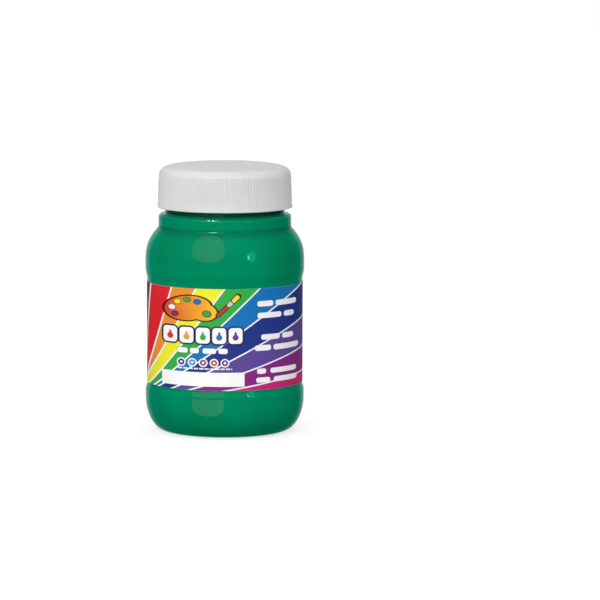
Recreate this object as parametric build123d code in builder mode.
from build123d import *
import os
from math import cos, sin, pi, radians

# School-paint jar, about 250 ml, standing on its foot ring: clear jar, paint,
# wrap label, screw cap and liner.
# Frame: origin at the centre of the foot on the ground, +Z up, the label's
# front faces -Y and its lapped seam is at the back (+Y). Millimetres.

# ---------------------------------------------------------------- dimensions
# jar, outside
foot_inner_r = 21.4  # flat foot ring the jar stands on
foot_outer_r = 23.4
punt_height = 3.1  # push-up in the middle of the base
punt_curve = [(12.0, 2.35), (18.6, 0.95)]  # radius, z between gate mark and foot
punt_end_slope = (1, -0.55)
gate_r = 1.9  # moulding gate mark under the base
gate_edge_w = 0.3
gate_depth = 0.6
heel_top_z = 14.1  # rounded heel runs out into the lower bulge
lower_bulge_r = 32.95
lower_bulge_top_z = 17.4
panel_r = 32.14  # recessed label panel
panel_low_z = 20.7
panel_high_z = 62.4
upper_bulge_low_z = 67.7
upper_bulge_r = 32.97
shoulder_start_z = 70.9
collar_r = 27.56  # collar band under the cap
collar_low_z = 84.8
collar_high_z = 90.3
collar_edge_r = 1.4
crease_r = 0.6
neck_r = 24.8  # plain neck (thread root)
lip_top_z = 106.5
lip_edge_r = 0.4

# heel and shoulder curves
heel_power_r = 2 / 2.44
heel_power_z = 2 / 1.83
heel_steps = 9
shoulder_power = 2.57
shoulder_steps = 8

# jar, inside
wall = 1.15
bore_r = 23.3
bore_edge_r = 0.8  # where the bore opens into the hollow collar
floor_z = 1.45  # inside height over the foot ring
floor_r = foot_outer_r - 0.9
floor_centre_z = punt_height + 1.25
floor_curve = [(11.5, 3.75), (18.0, 2.35)]  # radius, z between centre and floor_r
collar_inner_r = 26.4
collar_inner_low_z = collar_low_z - 0.7
collar_inner_edge_r = 1.2
collar_ceiling_z = 89.0

# screw finish, single start, right-handed
threads_per_inch = 6
lead = 25.4 / threads_per_inch
thread_turns = 1.25
thread_start_deg = 200.0
thread_step_deg = 15.0
thread_fade_deg = 45.0  # run-out at each end
thread_end_width = 0.55  # share of the full width left at the tips
thread_end_sink = 0.15  # how far the tips lie inside the wall
jar_thread_crest_r = 25.85
jar_thread_root_w = 2.4
jar_thread_crest_w = 1.2
jar_thread_buried = 0.5
jar_thread_low_z = 98.0  # mid-height of the thread at its lower end
cap_thread_crest_r = 25.1
cap_thread_root_w = 2.2
cap_thread_crest_w = 1.1
cap_thread_buried = 0.4
cap_thread_drop = 1.70  # cap thread bears on the underside of the jar thread

# cap, outside
cap_bottom_z = 92.8
cap_flare_r = 27.95
cap_edge_r = 0.35
cap_skirt_low_r = 27.70
cap_skirt_low_z = 94.2
cap_skirt_high_r = 27.30
cap_corner_r = 3.9
cap_corner_low_z = 105.9
cap_corner_deg = 76
cap_flat_r = 17.4
cap_top_z = 110.55
skirt_taper = (cap_skirt_low_r - cap_skirt_high_r) / (cap_corner_low_z - cap_skirt_low_z)

# cap, inside
cap_inner_r = 26.1
cap_inner_taper = 0.04
cap_mouth_w = 0.5  # chamfer inside the bottom edge
cap_mouth_height = 0.9
liner_pocket_r = 25.6
cap_ceiling_z = 107.8
cap_dish_z = 108.9
cap_dish_r = 18.2
cap_dish_slope_w = 1.0
retainer_r = 25.15  # bead that holds the liner
retainer_top_z = 106.5
retainer_crest_high_z = 106.15
retainer_crest_low_z = 105.85
retainer_bottom_z = 105.35

# cap ribs
rib_count = 144
rib_depth = 0.24
rib_rise = 0.06
rib_low_z = 94.3
rib_high_z = 108.2
rib_blank_r = cap_flare_r + 2
# one rib and groove: angle in rib pitches, radius from the skirt
rib_shape = [(-0.28, rib_rise), (0.28, rib_rise), (0.46, -rib_depth), (0.54, -rib_depth)]

# liner
liner_r = 25.45
liner_low_z = lip_top_z + 0.05
liner_thick = 1.2
liner_edge_r = 0.2

# label
label_inner_r = panel_r + 0.01
label_r = panel_r + 0.1
label_drop = 0.1  # the label sits this far down on the panel
label_low_z = panel_low_z - label_drop
label_high_z = panel_high_z - label_drop
label_lap_deg = 12.0
label_lap_thick = 0.08

# paint
fill_z = 93.4
paint_clear = 0.05


# ------------------------------------------------------------ shared shapes
def polar(radius, degrees):
    return (radius * cos(radians(degrees)), radius * sin(radians(degrees)))


def heel(start_r, start_z, end_r, end_z):
    """Rounded heel: flat where it leaves the foot, upright where it meets the bulge."""
    points = []
    for i in range(heel_steps + 1):
        angle = i / heel_steps * pi / 2
        points.append(
            (
                start_r + (end_r - start_r) * sin(angle) ** heel_power_r,
                end_z - (end_z - start_z) * cos(angle) ** heel_power_z,
            )
        )
    Spline(*points, tangents=[(1, 0), (0, 1)])


def shoulder(start_r, start_z, end_r, end_z):
    """Shoulder: upright at the bulge, about 45 degrees where it meets the collar."""
    points = []
    for i in range(shoulder_steps + 1):
        along = i / shoulder_steps
        points.append(
            (
                start_r - (start_r - end_r) * along**shoulder_power,
                start_z + (end_z - start_z) * along,
            )
        )
    end_slope = (-(start_r - end_r) * shoulder_power, end_z - start_z)
    Spline(*points, tangents=[(0, 1), end_slope])


def panel_step(low_r, low_z, high_r, high_z):
    """Smooth step between a bulge and the label panel, upright at both ends."""
    Spline(
        (low_r, low_z),
        ((low_r + high_r) / 2, (low_z + high_z) / 2),
        (high_r, high_z),
        tangents=[(0, 1), (0, 1)],
    )


def side_profile(foot_r, foot_z, inset, top_r, top_z):
    """Heel, bulges, panel and shoulder, set in from the jar's outside by inset.

    Called inside a BuildLine, as is inside_profile.
    """
    lower_r = lower_bulge_r - inset
    middle_r = panel_r - inset
    upper_r = upper_bulge_r - inset
    heel(foot_r, foot_z, lower_r, heel_top_z)
    Line((lower_r, heel_top_z), (lower_r, lower_bulge_top_z))
    panel_step(lower_r, lower_bulge_top_z, middle_r, panel_low_z)
    Line((middle_r, panel_low_z), (middle_r, panel_high_z))
    panel_step(middle_r, panel_high_z, upper_r, upper_bulge_low_z)
    Line((upper_r, upper_bulge_low_z), (upper_r, shoulder_start_z))
    shoulder(upper_r, shoulder_start_z, top_r, top_z)


def inside_profile(gap, top_z):
    """Jar's inside from the floor centre up the bore to top_z, held off the wall by gap."""
    collar_side_r = collar_inner_r - gap
    ceiling_z = collar_ceiling_z - gap
    ceiling_outer_r = collar_side_r - collar_inner_edge_r
    ceiling_inner_r = bore_r + bore_edge_r
    bore_side_r = bore_r - gap
    bore_low_z = ceiling_z + bore_edge_r + gap
    Spline(
        (0, floor_centre_z + gap),
        *[(radius, z + gap) for radius, z in floor_curve],
        (floor_r, floor_z + gap),
        tangents=[(1, 0), (1, 0)],
    )
    side_profile(floor_r, floor_z + gap, wall + gap, collar_side_r, collar_inner_low_z)
    Line((collar_side_r, collar_inner_low_z), (collar_side_r, ceiling_z - collar_inner_edge_r))
    RadiusArc(
        (collar_side_r, ceiling_z - collar_inner_edge_r),
        (ceiling_outer_r, ceiling_z),
        -collar_inner_edge_r,
    )
    Line((ceiling_outer_r, ceiling_z), (ceiling_inner_r, ceiling_z))
    RadiusArc((ceiling_inner_r, ceiling_z), (bore_side_r, bore_low_z), bore_edge_r + gap)
    Line((bore_side_r, bore_low_z), (bore_side_r, top_z))


def make_thread(low_z, buried_r, tip_r, crest_r, root_w, crest_w):
    """Helical ridge from buried_r to crest_r, sinking to tip_r at each end."""
    sections = int((360 * thread_turns + 2 * thread_fade_deg) / thread_step_deg)
    with BuildPart() as thread:
        for i in range(sections + 1):
            turned = i * thread_step_deg - thread_fade_deg
            from_end = min(i, sections - i) * thread_step_deg
            fade = min(1.0, from_end / thread_fade_deg)
            grown = fade * fade * (3 - 2 * fade)
            width_share = thread_end_width + (1 - thread_end_width) * grown
            # radius and half width of the two sides, the one nearer the axis first
            (near_r, near_half), (far_r, far_half) = sorted(
                [
                    (buried_r, root_w * width_share / 2),
                    (tip_r + (crest_r - tip_r) * grown, crest_w * width_share / 2),
                ]
            )
            out_x, out_y = polar(1, thread_start_deg + turned)
            with BuildSketch(
                Plane(
                    origin=(0, 0, low_z + lead * turned / 360),
                    x_dir=(out_x, out_y, 0),
                    z_dir=(out_y, -out_x, 0),
                )
            ):
                with BuildLine():
                    Polyline(
                        (near_r, -near_half),
                        (far_r, -far_half),
                        (far_r, far_half),
                        (near_r, near_half),
                        close=True,
                    )
                make_face()
        loft()
    return thread.part


# ----------------------------------------------------------------------- jar
def make_jar_body():
    """Blow-moulded clear jar: one closed wall section turned about the axis."""
    neck_thread = make_thread(
        low_z=jar_thread_low_z,
        buried_r=neck_r - jar_thread_buried,
        tip_r=neck_r - thread_end_sink,
        crest_r=jar_thread_crest_r,
        root_w=jar_thread_root_w,
        crest_w=jar_thread_crest_w,
    )
    gate_z = punt_height - gate_depth
    gate_edge = (gate_r + gate_edge_w, punt_height)
    lip_low_z = lip_top_z - lip_edge_r
    with BuildPart() as jar:
        with BuildSketch(Plane.XZ):
            with BuildLine():
                # underside: gate mark, push-up, foot ring
                Line((0, gate_z), (gate_r, gate_z))
                Line((gate_r, gate_z), gate_edge)
                Spline(
                    gate_edge,
                    *punt_curve,
                    (foot_inner_r, 0),
                    tangents=[(1, 0), punt_end_slope],
                )
                Line((foot_inner_r, 0), (foot_outer_r, 0))
                # outside, then the collar band
                side_profile(foot_outer_r, 0, 0, collar_r, collar_low_z)
                Line((collar_r, collar_low_z), (collar_r, collar_high_z - collar_edge_r))
                RadiusArc(
                    (collar_r, collar_high_z - collar_edge_r),
                    (collar_r - collar_edge_r, collar_high_z),
                    -collar_edge_r,
                )
                Line((collar_r - collar_edge_r, collar_high_z), (neck_r + crease_r, collar_high_z))
                RadiusArc(
                    (neck_r + crease_r, collar_high_z),
                    (neck_r, collar_high_z + crease_r),
                    crease_r,
                )
                # neck and lip
                Line((neck_r, collar_high_z + crease_r), (neck_r, lip_low_z))
                RadiusArc((neck_r, lip_low_z), (neck_r - lip_edge_r, lip_top_z), -lip_edge_r)
                Line((neck_r - lip_edge_r, lip_top_z), (bore_r + lip_edge_r, lip_top_z))
                RadiusArc((bore_r + lip_edge_r, lip_top_z), (bore_r, lip_low_z), -lip_edge_r)
                # inside, and the floor's thickness on the axis
                inside_profile(0, lip_low_z)
                Line((0, floor_centre_z), (0, gate_z))
            make_face()
        revolve(axis=Axis.Z)
        add(neck_thread)
    return jar.part


# --------------------------------------------------------------------- paint
def make_paint_fill():
    """Paint filling the jar up into the neck, just clear of the wall all round."""
    with BuildPart() as paint:
        with BuildSketch(Plane.XZ):
            with BuildLine():
                inside_profile(paint_clear, fill_z)
                Line((bore_r - paint_clear, fill_z), (0, fill_z))
                Line((0, fill_z), (0, floor_centre_z + paint_clear))
            make_face()
        revolve(axis=Axis.Z)
    return paint.part


# --------------------------------------------------------------------- label
def make_wrap_label():
    """Thin film round the panel; its two ends lap at the back."""
    lap_r = label_r + label_lap_thick
    with BuildPart() as label:
        with BuildSketch(Plane.XY.offset(label_low_z)):
            Circle(label_r)
            # the lap is a slightly larger sector centred on +Y
            with BuildLine():
                lap = ThreePointArc(
                    *[polar(lap_r, 90 + side * label_lap_deg / 2) for side in (-1, 0, 1)]
                )
                Line(lap @ 0, (0, 0))
                Line((0, 0), lap @ 1)
            make_face()
            Circle(label_inner_r, mode=Mode.SUBTRACT)
        extrude(amount=label_high_z - label_low_z)
    return label.part


# ----------------------------------------------------------------------- cap
def rib_outline(z):
    """Closed outline of the ribbed skirt at a height: flat-topped ribs, tapering grooves."""
    skirt_r = cap_skirt_low_r - skirt_taper * (z - cap_skirt_low_z)
    return [
        polar(skirt_r + rise, (i + pitches) * 360 / rib_count)
        for i in range(rib_count)
        for pitches, rise in rib_shape
    ]


def make_rib_core():
    """Solid ribbed skirt, lofted between its lower and upper outlines."""
    with BuildPart() as core:
        for z in (rib_low_z, rib_high_z):
            with BuildSketch(Plane.XY.offset(z)):
                with BuildLine():
                    Polyline(*rib_outline(z), close=True)
                make_face()
        loft(ruled=True)
    return core.part


def make_rib_cutter():
    """Ring that trims the plain cap down to the ribbed outline."""
    rib_core = make_rib_core()
    with BuildPart() as cutter:
        with BuildSketch(Plane.XY.offset(rib_low_z)):
            Circle(rib_blank_r)
        extrude(amount=rib_high_z - rib_low_z)
        add(rib_core, mode=Mode.SUBTRACT)
    return cutter.part


def make_screw_cap():
    """Ribbed skirt with a small flared edge, rounded corner, flat top, liner
    pocket with a retaining bead, and the internal thread."""
    cap_thread = make_thread(
        low_z=jar_thread_low_z - cap_thread_drop,
        buried_r=cap_inner_r + cap_thread_buried,
        tip_r=cap_inner_r + thread_end_sink,
        crest_r=cap_thread_crest_r,
        root_w=cap_thread_root_w,
        crest_w=cap_thread_crest_w,
    )
    rib_cutter = make_rib_cutter()
    corner_x, corner_z = polar(cap_corner_r, cap_corner_deg)
    corner_end = (cap_skirt_high_r - cap_corner_r + corner_x, cap_corner_low_z + corner_z)
    corner_slope = (-corner_z / cap_corner_r, corner_x / cap_corner_r)
    flare_low = (cap_flare_r - cap_edge_r, cap_bottom_z)
    flare_high = (cap_flare_r, cap_bottom_z + cap_edge_r)
    with BuildPart() as cap:
        with BuildSketch(Plane.XZ):
            with BuildLine():
                # inside, from the axis out and down to the skirt edge
                Polyline(
                    (0, cap_top_z),
                    (0, cap_dish_z),
                    (cap_dish_r, cap_dish_z),
                    (cap_dish_r + cap_dish_slope_w, cap_ceiling_z),
                    (liner_pocket_r, cap_ceiling_z),
                    (liner_pocket_r, retainer_top_z),
                    (retainer_r, retainer_crest_high_z),
                    (retainer_r, retainer_crest_low_z),
                    (cap_inner_r - cap_inner_taper, retainer_bottom_z),
                    (cap_inner_r, cap_bottom_z + cap_mouth_height),
                    (cap_inner_r + cap_mouth_w, cap_bottom_z),
                    flare_low,
                )
                # flared edge, skirt, rounded corner, top
                RadiusArc(flare_low, flare_high, -cap_edge_r)
                Spline(
                    flare_high,
                    (cap_skirt_low_r + 0.08, cap_skirt_low_z - 0.45),
                    (cap_skirt_low_r, cap_skirt_low_z),
                    tangents=[(-0.1, 1), (-skirt_taper, 1)],
                )
                Line((cap_skirt_low_r, cap_skirt_low_z), (cap_skirt_high_r, cap_corner_low_z))
                RadiusArc((cap_skirt_high_r, cap_corner_low_z), corner_end, -cap_corner_r)
                Spline(corner_end, (cap_flat_r, cap_top_z), tangents=[corner_slope, (-1, 0)])
                Line((cap_flat_r, cap_top_z), (0, cap_top_z))
            make_face()
        revolve(axis=Axis.Z)
        add(rib_cutter, mode=Mode.SUBTRACT)
        add(cap_thread)
    return cap.part


# --------------------------------------------------------------------- liner
def make_cap_liner():
    """Foam sealing disc held in the cap over the lip."""
    with BuildPart() as liner:
        with BuildSketch(Plane.XY.offset(liner_low_z)):
            Circle(liner_r)
        extrude(amount=liner_thick)
        fillet(liner.edges().filter_by(GeomType.CIRCLE), radius=liner_edge_r)
    return liner.part


# -------------------------------------------------------------------- export
pieces = {
    "jar_body": make_jar_body(),
    "paint_fill": make_paint_fill(),
    "wrap_label": make_wrap_label(),
    "screw_cap": make_screw_cap(),
    "cap_liner": make_cap_liner(),
}

os.makedirs("parts", exist_ok=True)
for name, piece in pieces.items():
    piece.label = name
    export_step(piece, f"parts/{name}.step")
